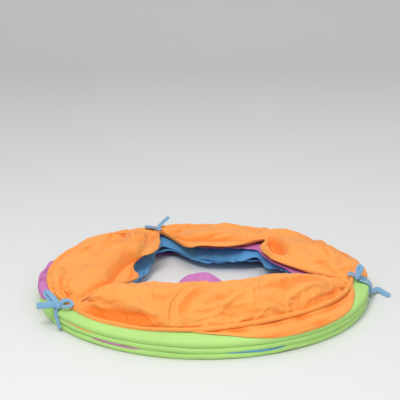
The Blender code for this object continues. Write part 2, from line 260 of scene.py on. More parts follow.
def placed(tree, kind, coordinates, inputs, **settings):
    """Texture laid by the coordinates of the object, or by the threads of the cloth."""
    texture = node(tree, kind, inputs, **settings)
    if coordinates == "UV":
        source = node(tree, "ShaderNodeUVMap", uv_map="UVMap")
    else:
        source = node(tree, "ShaderNodeTexCoord")
    link(tree, source, coordinates, texture, "Vector")
    return texture


def cloth_material(name, colour):
    """Thin woven polyester: fine threads, soft crinkles, a faint sheen, and painted shade in its creases."""
    surface = {"Roughness": 0.52, "Specular IOR Level": 0.2, "Sheen Weight": 0.04, "Sheen Roughness": 0.45}
    made, tree, shader = node_material(name, surface)
    tone = placed(tree, "ShaderNodeTexNoise", "Object", {"Scale": 9.0, "Detail": 3.0})
    ramp = tone_ramp(tree, tone, shade(colour, 0.92), shade(colour, 1.05), (0.3, 0.75))
    # Painted shade: a stored attribute mixes in a deeper, darker colour where creases and cloth above would
    # shade the cloth
    painted_shade = node(tree, "ShaderNodeAttribute", attribute_name="painted_shade")
    deep = (*[value**1.45 for value in colour], 1)
    painted_shade_mix = node(tree, "ShaderNodeMix", {7: deep}, data_type="RGBA")
    link(tree, painted_shade, "Fac", painted_shade_mix, 0)
    link(tree, ramp, "Color", painted_shade_mix, 6)
    link(tree, painted_shade_mix, 2, shader, "Base Color")
    crinkles = {"Scale": 55.0, "Detail": 4.0, "Roughness": 0.55, "Distortion": 0.8}
    wrinkle = placed(tree, "ShaderNodeTexNoise", "Object", crinkles)
    soft = node(tree, "ShaderNodeBump", {"Strength": 0.55, "Distance": 0.0011})
    link(tree, wrinkle, "Fac", soft, "Height")
    both = node(tree, "ShaderNodeMath", operation="MULTIPLY")
    for number, bands in enumerate("XY"):
        threads = {"Scale": 420.0, "Distortion": 0.4}
        wave = placed(tree, "ShaderNodeTexWave", "UV", threads, bands_direction=bands)
        link(tree, wave, "Fac", both, number)
    fine = node(tree, "ShaderNodeBump", {"Strength": 0.25, "Distance": 0.0001})
    link(tree, both, 0, fine, "Height")
    link(tree, soft, "Normal", fine, "Normal")
    link(tree, fine, "Normal", shader, "Normal")
    return made


def ribbon_material(name, colour):
    """Ribbon with fine ribs across it."""
    made, tree, shader = node_material(name, {"Roughness": 0.45, "Sheen Weight": 0.3})
    ribs = placed(tree, "ShaderNodeTexWave", "UV", {"Scale": 260.0}, bands_direction="X")
    ramp = tone_ramp(tree, ribs, shade(colour, 0.8), shade(colour, 1.12))
    link(tree, ramp, "Color", shader, "Base Color")
    bump = node(tree, "ShaderNodeBump", {"Strength": 0.6, "Distance": 0.0002})
    link(tree, ribs, "Fac", bump, "Height")
    link(tree, bump, "Normal", shader, "Normal")
    return made


def steel_material(name, colour, roughness):
    made, tree, shader = node_material(name, {"Metallic": 1.0, "Roughness": roughness})
    drawn = placed(tree, "ShaderNodeTexNoise", "Object", {"Scale": 160.0})
    ramp = tone_ramp(tree, drawn, shade(colour, 0.75), colour)
    link(tree, ramp, "Color", shader, "Base Color")
    return made


CLOTH = {
    name: cloth_material(f"{name}_cloth", colour) for name, colour in COLOURS.items() if name != "ribbon"
}
RIBBON = ribbon_material("woven_ribbon", COLOURS["ribbon"])
SPRING = steel_material("drawn_steel", (0.50, 0.51, 0.53), 0.38)
CRIMP = steel_material("crimped_steel", (0.68, 0.69, 0.71), 0.3)


# Meshes


def grid_mesh(name, rows, closed, spacing):
    """Mesh of quads over rows of points, with a UV map in metres of cloth."""
    count, columns = len(rows), len(rows[0])
    faces = []
    for row in range(count if closed else count - 1):
        for column in range(columns - 1):
            here, there = row * columns + column, (row + 1) % count * columns + column
            faces.append((here, there, there + 1, here + 1))
    mesh = bpy.data.meshes.new(name)
    mesh.from_pydata([tuple(point) for row in rows for point in row], [], faces)
    layer = mesh.uv_layers.new(name="UVMap")
    for face in mesh.polygons:
        for corner in face.loop_indices:
            row, column = divmod(mesh.loops[corner].vertex_index, columns)
            if closed and row == 0 and face.index >= (count - 1) * (columns - 1):
                row = count
            layer.data[corner].uv = (row * spacing[0], column * spacing[1])
    mesh.shade_smooth()
    return mesh


def add(name, mesh, finish):
    made = bpy.data.objects.new(name, mesh)
    bpy.context.scene.collection.objects.link(made)
    made.data.materials.clear()
    made.data.materials.append(finish)
    return made


def unfold_group():
    """Node group that places a stretchy piece between its packed and its open shape."""
    group = bpy.data.node_groups.new("unfold", "GeometryNodeTree")
    for title, side, kind in (
        ("Geometry", "INPUT", "Geometry"), ("Base range", "INPUT", "Float"),
        ("Share range", "INPUT", "Float"), ("Geometry", "OUTPUT", "Geometry"),
    ):
        group.interface.new_socket(title, in_out=side, socket_type=f"NodeSocket{kind}")
    start = node(group, "NodeGroupInput")
    end = node(group, "NodeGroupOutput")
    position = node(group, "GeometryNodeInputPosition")
    parts = node(group, "ShaderNodeSeparateXYZ")
    spread = node(group, "GeometryNodeAttributeStatistic")
    link(group, position, 0, parts, 0)
    link(group, start, "Geometry", spread, "Geometry")
    link(group, parts, "Z", spread, "Attribute")

    def solved(operation, one, two=None, clamp=False):
        made = node(group, "ShaderNodeMath", operation=operation, use_clamp=clamp)
        for socket, value in zip(made.inputs, (one, two)):
            if isinstance(value, float):
                socket.default_value = value
            elif value is not None:
                group.links.new(value, socket)
        return made.outputs[0]

    def stored(title, kind):
        made = node(group, "GeometryNodeInputNamedAttribute", data_type=kind)
        made.inputs["Name"].default_value = title
        return made.outputs["Attribute"]

    drawn = solved("SUBTRACT", spread.outputs["Range"], start.outputs["Base range"])
    travel = solved("DIVIDE", drawn, start.outputs["Share range"])
    share = solved("DIVIDE", travel, TRAVEL, clamp=True)
    rest = solved("SUBTRACT", 1.0, solved("MULTIPLY", share, share), clamp=True)
    mix = node(group, "ShaderNodeMix", data_type="VECTOR")
    group.links.new(solved("SQRT", rest), mix.inputs["Factor"])
    vectors = [socket for socket in mix.inputs if socket.type == "VECTOR"]
    group.links.new(stored("open_place", "FLOAT_VECTOR"), vectors[-2])
    group.links.new(stored("packed_place", "FLOAT_VECTOR"), vectors[-1])
    lifted = node(group, "ShaderNodeCombineXYZ")
    climb = solved("MULTIPLY", stored("travel_share", "FLOAT"), travel)
    group.links.new(climb, lifted.inputs["Z"])
    total = node(group, "ShaderNodeVectorMath", operation="ADD")
    mixed = [socket for socket in mix.outputs if socket.type == "VECTOR"][0]
    group.links.new(mixed, total.inputs[0])
    link(group, lifted, 0, total, 1)
    place = node(group, "GeometryNodeSetPosition")
    link(group, start, "Geometry", place, "Geometry")
    link(group, total, 0, place, "Position")
    link(group, place, "Geometry", end, "Geometry")
    return group


UNFOLD = unfold_group()
# The upper hoop lies this far over the lower one when packed, and keeps that height over its body
HOOP_RISE = turn_height(WIRE_TURNS) - CASING_HALF


def base_height(share):
    return 0.5 - math.sin(math.asin(1 - 2 * min(max(share, 0.0), 1.0)) / 3)


def thicken(made, thickness):
    thick = made.modifiers.new("thickness", "SOLIDIFY")
    thick.thickness = thickness
    thick.offset = 0.0


def store(mesh, title, values):
    """Keep a number or a vector with each point of a mesh."""
    values = np.array(values, dtype=np.float32)
    kind, entry = ("FLOAT_VECTOR", "vector") if values.ndim > 1 else ("FLOAT", "value")
    mesh.attributes.new(title, kind, "POINT").data.foreach_set(entry, values.reshape(-1))


def stretchy(name, rows, closed, spacing, finish, thickness=CLOTH_THICKNESS, levels=1):
    """Piece that follows the tunnel as it opens, from rows of points.

    A point is its packed place, its open place and its share of the travel.
    """
    packed, opened, shares = zip(*[point for row in rows for point in row])
    base = [[(*place[:2], SPREAD * base_height(share)) for place, _, share in row] for row in rows]
    mesh = grid_mesh(name.removesuffix("_cloth"), base, closed, spacing)
    store(mesh, "packed_place", packed)
    store(mesh, "open_place", [(x, y, z + HOOP_RISE * share) for (x, y, z), share in zip(opened, shares)])
    store(mesh, "travel_share", shares)
    made = add(name, mesh, finish)
    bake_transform(made, "bottom", "mouth", start=(0, 0, 0), end=(0, 0, SPREAD))
    unfold = made.modifiers.new("unfold", "NODES")
    unfold.node_group = UNFOLD
    keys = [item.identifier for item in UNFOLD.interface.items_tree if item.in_out == "INPUT"]
    weights = [item.value for item in made.data.attributes["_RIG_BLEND"].data]
    made.data.update()
    tall = [vert.co.z for vert in made.data.vertices]
    unfold[keys[1]] = max(tall) - min(tall)
    unfold[keys[2]] = max(weights) - min(weights)
    if levels:
        finer = made.modifiers.new("smooth", "SUBSURF")
        finer.levels = levels
        finer.render_levels = levels
    if thickness:
        thicken(made, thickness)
    return made


# Cloth sleeves of the wire

SLEEVE_STATIONS = 240
SLEEVE_STEPS = 12
SLEEVE_SPACING = (math.tau * COIL_RADIUS / SLEEVE_STATIONS, 0.002)
# How far round the wire a sleeve goes to each side, as a share of a quarter turn
SLEEVE_BEND = 1.12
# First turn, colour, height of the middle when packed (None where it stays at the wire), how far
# it hangs below and stands above that, and outer reach. Three sleeves billow over the others.
SLEEVES = {
    "bottom_hem": (0, "green", 0.0043, 0.0042, 0.0041, 0.0036),
    "wire_sleeve_1": (1, "green", None, 0.0018, 0.0018, 0.0018),
    "wire_sleeve_2": (2, "green", 0.0124, 0.0041, 0.0041, 0.0040),
    "wire_sleeve_3": (3, "green", None, 0.0018, 0.0018, 0.0018),
    "wire_sleeve_4": (4, "green", 0.0200, 0.0040, 0.0040, 0.0036),
    "wire_sleeve_5": (5, "green", None, 0.0018, 0.0018, 0.0018),
    "mouth_hem": (7, "orange", None, 0.0022, 0.0032, 0.0027),
}


def sleeve_outline(below, above, reach):
    """Round cloth tube about the wire, closed at the seam inside it."""
    outline = [(-SEAM_ALLOWANCE, -CASING_HALF * 0.4)]
    for step in range(SLEEVE_STEPS + 1):
        bend = math.pi * (step / SLEEVE_STEPS - 0.5) * SLEEVE_BEND
        outline.append((reach * math.cos(bend), (below if bend < 0 else above) * math.sin(bend)))
    return outline + [(-SEAM_ALLOWANCE, CASING_HALF * 0.4)]


def sleeve(name, first, colour, middle, below, above, reach):
    rows = []
    seed = first * 7.31
    for station in range(SLEEVE_STATIONS + 1):
        turn = first + station / SLEEVE_STATIONS
        angle = turn_angle(turn)
        radius = turn_radius(turn)
        swell = 1 + 0.10 * ring_noise(angle, 7, seed) + 0.05 * ring_noise(angle, 30, seed + 5)
        height = turn_height(turn) if middle is None else middle
        height += 0.0012 * ring_noise(angle, 3, seed + 9) + 0.0008 * ring_noise(angle, 12, seed + 4)
        row = []
        for out, up in sleeve_outline(below * swell, above * swell, reach * swell):
            packed = at(angle, radius + out, max(height + up, 0.0002 + max(out, 0) * 0.02))
            opened = at(angle, radius + out * 0.8, CASING_HALF + up * 0.7)
            row.append((packed, opened, turn_share(turn)))
        rows.append(row)
    made = stretchy(f"{name}_cloth", rows, False, SLEEVE_SPACING, CLOTH[colour], 0.0)
    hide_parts(name)


for title, values in SLEEVES.items():
    sleeve(title, *values)


# Cloth of the folds that shows as slivers between the sleeves: colour, number of the fold, first and
# last angle, lowest and highest point, radius
SLIVERS = {
    "orange_sliver": ("orange", 3, 213, 236, 0.0150, 0.0180, 0.2404),
    "purple_sliver": ("purple", 1, 231, 251, 0.0070, 0.0094, 0.2408),
    "blue_sliver": ("blue", 2, 276, 297, 0.0070, 0.0096, 0.2408),
}
SLIVER_STATIONS = 40
SLIVER_STEPS = 4


def sliver(name, colour, fold, first, last, low, high, radius):
    rows = []
    for station in range(SLIVER_STATIONS + 1):
        part = station / SLIVER_STATIONS
        angle = math.radians(first + (last - first) * part)
        slim = math.sin(math.pi * part) ** 0.5
        middle = (low + high) / 2 + 0.0006 * math.sin(7 * part + first)
        turn = fold - 0.5 + (CRIMP_ANGLE - angle) % math.tau / math.tau
        row = []
        for step in range(SLIVER_STEPS + 1):
            side = step / SLIVER_STEPS * 2 - 1
            out = radius - 0.0026 * (1 - slim) - 0.0012 * side * side
            packed = at(angle, out, middle + side * slim * (high - low) / 2)
            opened = at(angle, COIL_RADIUS - 0.0090 - 0.0010 * side, CASING_HALF)
            row.append((packed, opened, turn_share(turn + 0.02 * side)))
        rows.append(row)
    made = stretchy(name, rows, False, (0.0020, 0.0007), CLOTH[colour])


for title, values in SLIVERS.items():
    sliver(title, *values)


# Creases: each runs through (degrees, percent of the way across the cloth) and has a height, a width
# on its left side and a width on its right side, in millimetres. They fade over a share of their
# length at each end.

# How far inwards creased cloth reaches from the hoop
CREASED_DEPTH = 0.14
CREASE_FADE = 0.3
CREASE_END = 0.25


def crease_heights(degrees, shares, creases, long):
    """Height of all the creases over a grid; long is the way across the cloth in metres."""
    total = np.zeros(degrees.shape)
    radii = MOUTH_RADIUS - CREASED_DEPTH * shares
    for places, height, left, right in creases:
        best = np.full(degrees.shape, np.inf)
        side = np.zeros(degrees.shape)
        along = np.zeros(degrees.shape)
        spots = [(math.radians(angle), share * PERCENT) for angle, share in places]
        done = 0.0
        for a, b in zip(spots, spots[1:]):
            length = math.hypot((b[0] - a[0]) * (MOUTH_RADIUS - CREASED_DEPTH * a[1]), (b[1] - a[1]) * long)
            turned = (np.radians(degrees) - a[0] + math.pi) % math.tau - math.pi
            x, y = turned * radii, (shares - a[1]) * long
            dx, dy = (b[0] - a[0]) * radii, (b[1] - a[1]) * long
            part = np.clip((x * dx + y * dy) / (dx * dx + dy * dy + 1e-12), 0, 1)
            away = np.hypot(x - part * dx, y - part * dy)
            near = away < best
            best = np.where(near, away, best)
            side = np.where(near, dx * y - dy * x, side)
            along = np.where(near, done + part * length, along)
            done += length
        wide = np.where(side > 0, left, right) * MM
        ends = np.clip(np.minimum(along, done - along) / (CREASE_FADE * done) + CREASE_END, 0, 1)
        total += height * MM * ends * np.exp(-((best / wide) ** 2))
    return total


def raised(points, heights, closed):
    """Points of a grid moved along its normals, which lean outwards and up."""
    if closed:
        around_grid = np.roll(points, -1, axis=0) - np.roll(points, 1, axis=0)
    else:
        around_grid = np.gradient(points, axis=0)
    normals = np.cross(np.gradient(points, axis=1), around_grid)
    normals /= np.linalg.norm(normals, axis=2, keepdims=True) + 1e-12
    return points + normals * heights[..., None]


def packed_points(rows):
    return np.array([[point[0] for point in row] for row in rows])


def with_packed(rows, places):
    """Rows of points whose packed places are new."""
    pairs = zip(places, rows)
    return [[(place, *point[1:]) for place, point in zip(line, row)] for line, row in pairs]


def grid_noise(points, scale, seed):
    """Soft noise over a grid of points, from -1 to 1."""
    flat = [noise.noise(Vector(point) * scale + Vector((seed, 0, 0))) for point in points.reshape(-1, 3)]
    return np.array(flat).reshape(points.shape[:2])


# Cloth that falls from the upper hoop over the outside of the stack

SKIRT_STEPS = 21
OVER_STEPS = 15
# Way across the green cloth, how strongly the cloth over it is creased, and how deep a dent gets
# the full painted shade
OVER_LENGTH = 0.040
OVER_STRENGTH = 1.6
OVER_DENT = 0.0016
# Radius of the sixth sleeve round the open wire
OPEN_SLEEVE = 0.0021
# How much of the bent hoop's rise the cloth that starts at it has
RIM_LIFT = 0.6
# Outside of the stack: distance from the coil's radius, and height
SHOULDER = ((0.0015, 0.0258), (0.0041, 0.0230), (0.0043, 0.0195), (0.0020, 0.0163), (-0.0040, 0.0166))


def skirt_profile(turn, share):
    """Radius and height across the green cloth, from under the hem to below the shoulder."""
    wire, height = turn_radius(turn), turn_height(turn)
    rim = drawn_radius(turn_angle(turn), 1.0)
    first, second = SHOULDER[0]
    points = [(min(wire - 0.003, rim - 0.001), height + 0.0010), (wire + 0.001, height + 0.0020)]
    middle = (wire + 0.001 + COIL_RADIUS + first) / 2
    points.append((middle, (height + 0.0020 + second) / 2 + 0.0004))
    points += [(COIL_RADIUS + out, up) for out, up in SHOULDER]
    return catmull(points, share)


def skirt():
    """Sleeve of the sixth turn, with its loose cloth lying over the stack."""
    rows = []
    for station in range(SLEEVE_STATIONS + 1):
        turn = OPENING_TURNS + station / SLEEVE_STATIONS
        angle = turn_angle(turn)
        row = []
        for step in range(SKIRT_STEPS):
            share = step / (SKIRT_STEPS - 1)
            bend = math.pi * (share - 0.5) * 1.3
            out, down = OPEN_SLEEVE * math.cos(bend), OPEN_SLEEVE * math.sin(bend)
            opened = at(angle, turn_radius(turn) + out, CASING_HALF - down)
            row.append((at(angle, *skirt_profile(turn, share)), opened, turn_share(turn)))
        rows.append(row)
    points = packed_points(rows)
    swell = 0.0007 * grid_noise(points, 28, 3.0) * np.sin(np.pi * np.linspace(0, 1, SKIRT_STEPS))
    rows = with_packed(rows, raised(points, swell, False))
    made = stretchy("wire_sleeve_6_cloth", rows, False, SLEEVE_SPACING, CLOTH["green"], 0.0)
    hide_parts("wire_sleeve_6")


skirt()

# Where other cloth lies out over the green: degrees, and percent of the way across the green cloth
# that it reaches
WEDGE_REACHES = (
    (258, 2), (262, 8), (268, 20), (277, 30), (285, 42), (292, 60), (301, 64), (312, 62), (319, 58),
    (328, 40), (338, 26), (346, 14), (351, 5),
)
PATCH_REACHES = (
    (166, 5), (169, 40), (174, 62), (181, 72), (190, 73), (198, 70), (203, 55), (205, 40),
)
FLAP_REACHES = (
    (353, 5), (357, 40), (361, 78), (367, 90), (380, 92), (392, 90), (400, 76), (410, 45), (420, 20),
    (430, 5),
)
WEDGE_CREASES = (
    (((262, 14), (272, 24), (283, 34)), 1.2, 2, 3),
    (((290, 52), (300, 44), (312, 40), (324, 36)), -1.4, 2, 3),
    (((268, 10), (276, 18), (286, 22), (297, 24)), -1.6, 2, 5),
    (((283, 16), (292, 30), (300, 34)), 1.6, 3, 5),
    (((298, 12), (308, 20), (320, 24), (330, 22)), -1.8, 2, 5),
    (((306, 30), (316, 33), (326, 28)), 1.4, 3, 4),
    (((322, 8), (332, 12), (342, 6)), -1.4, 2, 4),
    (((276, 30), (288, 46), (296, 50)), -1, 3, 3),
)
FLAP_CREASES = (
    (((366, 10), (378, 20), (392, 20)), 1.6, 3, 4),
    (((374, 28), (386, 34), (398, 22)), -1.4, 3, 4),
)
PATCH_CREASES = (
    (((166, 30), (174, 45), (180, 62)), -2, 2, 4),
    (((186, 25), (190, 50), (196, 60)), -2.2, 2, 4),
    (((176, 20), (184, 36), (192, 40)), 1.6, 3, 3),
)


def value_at(place, keys):
    """Straight line between keys, held at both ends."""
    return float(np.interp(place, [key[0] for key in keys], [key[1] for key in keys]))


def over_skirt(name, colour, reaches, creases, lift, bulge, held, open_radius, flat, area_share):
    """Cloth that lies on the green cloth, from the hem out to its own edge."""
    first, last = reaches[0][0], reaches[-1][0]
    count = round((last - first) * 1.5)
    parts = np.linspace(0, 1, OVER_STEPS)
    rows, degrees, across = [], [], []
    for station in range(count + 1):
        place = first + (last - first) * station / count
        angle = math.radians(place)
        turn = OPENING_TURNS + (math.degrees(CRIMP_ANGLE) - place) % 360 / 360
        shares = value_at(place, reaches) * PERCENT * parts
        row = []
        for part, share in zip(parts.tolist(), shares.tolist()):
            radius, height = skirt_profile(turn, share)
            swell = bulge * math.sin(math.pi * part)
            settle = lift * (1 - 0.7 * part**3) + RIM_LIFT * hoop_bend(angle)[1] * (1 - part) ** 2
            packed = at(angle, radius + 0.5 * settle + swell, height + settle + 0.4 * swell)
            row.append((packed, at(angle, open_radius(angle), CASING_HALF), held - 0.03 * share))
        rows.append(row)
        degrees.append([place] * OVER_STEPS)
        across.append(shares)
    points = packed_points(rows)
    heights = crease_heights(np.array(degrees), np.array(across), creases, OVER_LENGTH)
    heights += 0.0016 * grid_noise(points, 45, 2.0)
    fade = np.sin(np.pi * (parts * 0.9 + 0.1))
    rows = with_packed(rows, raised(points, OVER_STRENGTH * heights * fade, False))
    made = stretchy(name, rows, False, (0.0027, 0.0020), CLOTH[colour])
    # Painted shade: the dents of the creases get a deeper colour
    store(made.data, "painted_shade", np.clip(-heights / OVER_DENT, 0, 1).reshape(-1))


def inside_mouth(angle):
    return drawn_radius(angle, 1.0) - 0.0030


def inside_coil(angle):
    return COIL_RADIUS - 0.0032


# Colour, reaches, creases, lift and bulge over the green cloth, share of the travel, radius when
# open, flat size, and the share of that which is modelled
OVER_SKIRTS = {
    "mouth_wedge": (
        "orange", WEDGE_REACHES, WEDGE_CREASES, 0.0024, 0.0008, 1.0, inside_mouth, (0.026, 0.377), 0.74,
    ),
    "side_patch": (
        "purple", PATCH_REACHES, PATCH_CREASES, 0.0022, 0.0016, 5 / 6, inside_coil, (0.026, 0.163), 1.0,
    ),
    "mouth_flap": (
        "orange", FLAP_REACHES, FLAP_CREASES, 0.0022, 0.0016, 1.0, inside_mouth, (0.036, 0.320), 0.78,
    ),
}
for title, values in OVER_SKIRTS.items():
    over_skirt(title, *values)


# Folds of cloth between the turns

FOLD_STATIONS = 240
FOLD_STEPS = 17
GATHERS = 31
PUFF_HEIGHT = 0.011
# Lowest height of the folds' cloth, and how far it bows in between the turns of the open wire
FOLD_FLOOR = 0.0008
FOLD_SLACK = 0.006
FOLD_FINISH = ("purple", "blue", "orange", "green", "blue", "purple")
# Height of each lobe's cloth, and how far its crest leans towards its first tie
ARCH_SHARES = {"left": 1.0, "right": 0.25, "back": 0.15}
ARCH_LEANS = {"left": 0.85, "right": 1.0, "back": 1.0}


def arch(angle):
    names = sorted(TIES, key=lambda name: (TIES[name] - angle) % math.tau)
    after, before = names[0], names[-1]
    gap = (TIES[after] - TIES[before]) % math.tau
    share = ((angle - TIES[before]) % math.tau) / gap
    return ARCH_SHARES[before] * max(0.0, math.sin(math.pi * share ** ARCH_LEANS[before])) ** 0.5


# By angle, for each fold: radius of the inner edge, and how far that edge hangs below its layer.
# At each tie the cloth is pinched, so its edge lies further out there.
FOLD_EDGES = (
    (
        (8, 150, 0), (60, 150, 0), (90, 146, 0), (110, 170, 0), (130, 146, 0), (190, 140, 0),
        (218, 150, 0), (236, 110, 0), (330, 110, 0), (350, 150, 0),
    ),
    (
        (10, 124, -2), (26, 134, -3), (36, 119, -3), (46, 127, -3), (52, 112, -4), (60, 100, -4),
        (74, 91, -5), (86, 94, -5), (96, 104, -5), (104, 121, -5), (112, 160, -4), (121, 146, -5),
        (132, 120, -4), (146, 99, -3), (165, 98, -3), (180, 100, -3), (205, 110, -2), (218, 158, 0),
        (234, 110, 0), (270, 110, 0), (335, 112, -2), (350, 150, -2),
    ),
    (
        (8, 150, 0), (60, 150, 0), (90, 140, 0), (111, 178, 0), (130, 130, 0), (200, 122, 0),
        (218, 160, 0), (236, 108, 0), (330, 108, 0), (350, 155, 0),
    ),
    (
        (8, 150, 0), (60, 150, 0), (90, 138, 0), (111, 178, 0), (130, 130, 0), (200, 122, 0),
        (218, 160, 0), (236, 107, 0), (330, 107, 0), (350, 155, 0),
    ),
    (
        (8, 124, 6), (20, 113, 12), (30, 108, 16), (40, 117, 14), (47, 120, 12), (54, 104, 16),
        (64, 96, 19), (80, 90, 20), (96, 100, 18), (105, 128, 10), (112, 168, 4), (122, 140, 8),
        (134, 112, 14), (146, 104, 17), (170, 101, 17), (200, 108, 9), (218, 160, 0), (235, 112, 0),
        (270, 108, 0), (335, 110, 0), (350, 155, 0),
    ),
    (
        (0, 130, 0), (10, 119, 0), (20, 110, 0), (32, 109, 0), (42, 118, 0), (50, 132, 2), (57, 122, 1),
        (66, 112, 1), (80, 108, 1), (94, 114, 0), (103, 160, 0), (110, 205, 0), (121, 185, 0),
        (140, 124, 2), (170, 120, 2), (200, 122, 0), (218, 165, 0), (232, 106, 0), (242, 108, 0),
        (249, 106, -12), (254, 103, -21.5), (261, 100, -27), (268, 99, -28.5), (275, 100, -27),
        (281, 103, -20.5), (286, 106, -11), (292, 104, 0), (330, 103, 0), (344, 128, 0), (350, 160, 0),
    ),
)
# By angle, how far folds are drawn up towards the cloth of the mouth, and the share of it for each
RISE_KEYS = (
    (0, 4), (15, 9), (60, 11), (95, 9), (106, 4), (112, 2), (119, 4), (130, 8), (170, 9), (200, 6),
    (215, 0), (240, 0), (340, 0),
)
RISE_SHARES = (0, 0, 0, 0, 1.0, 0.5)
# How high the gathers of each fold are. Only a share of each fold's whole cut is modelled, since its
# finest pleats aren't
GATHER_HEIGHTS = (0.0016, 0.0010, 0.0012, 0.0012, 0.0012, 0.0005)


def open_point(angle, start, end, share, slack, waves):
    """Point of a band of cloth that hangs between two turns of the open wire."""
    bow = math.sin(math.pi * share)
    inset = OPEN_INSET + slack * bow - OPEN_CREASE * bow * math.sin(waves)
    return at(angle, start + (end - start) * share - inset, CASING_HALF)


def fold_cloth(section):
    name = f"fold_{section + 1}"
    colour = FOLD_FINISH[section]
    seed = section * 3.7
    rows = []
    for station in range(FOLD_STATIONS + 1):
        part = station / FOLD_STATIONS
        turn = section + part
        angle = turn_angle(turn)
        lower, upper = turn_radius(turn), turn_radius(turn + 1)
        lift_all = PUFF_HEIGHT * arch(angle) if section else 0.0
        rise = around(angle, RISE_KEYS)[0] * RISE_SHARES[section]
        low, high = turn_height(turn), turn_height(turn + 1)
        tip, sag = around(angle, FOLD_EDGES[section])
        ripple, small = ring_noise(angle, 5, seed), ring_noise(angle, 17, seed)
        tip += 0.003 * ripple + 0.0025 * small
        gather = math.sin(GATHERS * angle + 5 * ripple + seed) * (1 + 0.6 * small)
        if section == 0:
            high = min(high, low + PACKED_PITCH)
            outer = min(lower, upper) - SEAM_ALLOWANCE
            tip = outer - (outer - tip) * smooth(part * 4)
        row = []
        for step in range(FOLD_STEPS):
            place = step / (FOLD_STEPS - 1)
            inward = 1 - abs(1 - 2 * place)
            inward = math.sin(inward * math.pi / 2) ** 0.9 if inward < 1 else 1.0
            edge = (lower if place < 0.5 else upper) - SEAM_ALLOWANCE
            height = low + (high - low) * smooth(place)
            height += lift_all * smooth((inward - 0.02) / 0.35) + rise * smooth((inward - 0.35) / 0.4)
            height += 0.0006 * ring_noise(angle, 8, inward * 3 + seed)
            height -= sag * smooth((inward - 0.55) / 0.45)
            height += GATHER_HEIGHTS[section] * gather * smooth((inward - 0.3) / 0.6)
            packed = at(angle, edge + (tip - edge) * inward, max(height, FOLD_FLOOR))
            waves = 23 * angle + 4 * place + section
            opened = open_point(angle, lower, upper, place, FOLD_SLACK * (1 + 0.5 * small), waves)
            share = turn_share(turn) + (turn_share(turn + 1) - turn_share(turn)) * place
            row.append((packed, opened, share))
        rows.append(row)
    spacing = (math.tau * FOLDED_RADIUS / FOLD_STATIONS, 2 * FOLD_DEPTH / FOLD_STEPS)
    made = stretchy(f"{name}_cloth", rows, False, spacing, CLOTH[colour])
    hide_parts(name)


for section in range(OPENING_TURNS):
    fold_cloth(section)


# Puffed orange cloth of the mouth

PUFF_STATIONS = 480
# The last turn climbs to the hoop, so the cloth above it is a long wedge with some fullness, of
# which only a share is modelled
PUFF_STEPS = 84
PUFF_SHARES = [step / (PUFF_STEPS - 1) for step in range(PUFF_STEPS)]
PUFF_LENGTH = 0.155
# How far inside the hoop's centre line the puffed cloth starts, and at what height
HEM_OVERLAP = -0.0027
HEM_TOP = 0.0316
# How strongly the mouth's cloth is creased, and how deep a dent gets the full painted shade
MOUTH_STRENGTH = 1.35
MOUTH_DENT = 0.0045
MOUTH_SLACK = 0.007
# Frames that the cloth gets to settle, the pressure in it, how much it shrinks (it grows, so that
# it wrinkles), and how far a point may move
SETTLE_FRAMES = 20
SETTLE_PRESSURE = 0.8
SETTLE_SHRINK = -0.075
SETTLE_REACH = 0.010
# By angle: radius and height of the crest, then radius and height of the inner edge
PUFF_KEYS = (
    (221, 207, 43, 190, 38), (226, 194, 59, 168, 43), (233, 176, 67, 148, 45), (241, 164, 70.5, 132, 45),
    (249, 158, 70, 124, 45), (254, 157, 68, 122, 45), (261, 153, 71, 119, 46), (268, 153, 72, 118, 47),
    (284, 151, 70.5, 116, 47), (297, 147, 68, 112, 46), (308, 146, 66, 110, 44), (318, 146, 63, 112, 43),
    (329, 151, 58, 120, 41), (338, 171, 50, 148, 39), (345, 194, 42, 182, 36), (350, 207, 35.5, 204, 33),
    (355, 194, 40, 160, 37), (2, 186, 44, 134, 40), (10, 184, 46.5, 118, 42), (20, 182, 48, 110, 43),
    (32, 180, 48, 112, 44), (42, 178, 47.5, 122, 45.5), (46, 178, 47.5, 138, 46), (50, 180, 47, 151, 46),
    (54, 178, 46, 140, 45), (58, 176, 45, 118, 44), (66, 176, 44, 101, 44), (80, 176, 43, 94, 44),
    (94, 178, 42, 98, 43), (102, 186, 40, 99, 41), (106, 197, 38, 118, 38), (108.5, 205, 36.2, 168, 35),
    (110, 212, 35.5, 206, 33), (114, 202, 38, 176, 36), (120, 192, 42, 140, 40), (130, 186, 45, 114, 41),
    (145, 182, 45, 107, 41), (165, 184, 43, 108, 41), (185, 190, 41, 108, 42), (199, 196, 40, 105, 40),
    (207, 202, 40, 118, 39), (213, 208, 39, 168, 36), (218, 214, 36, 211, 34),
)
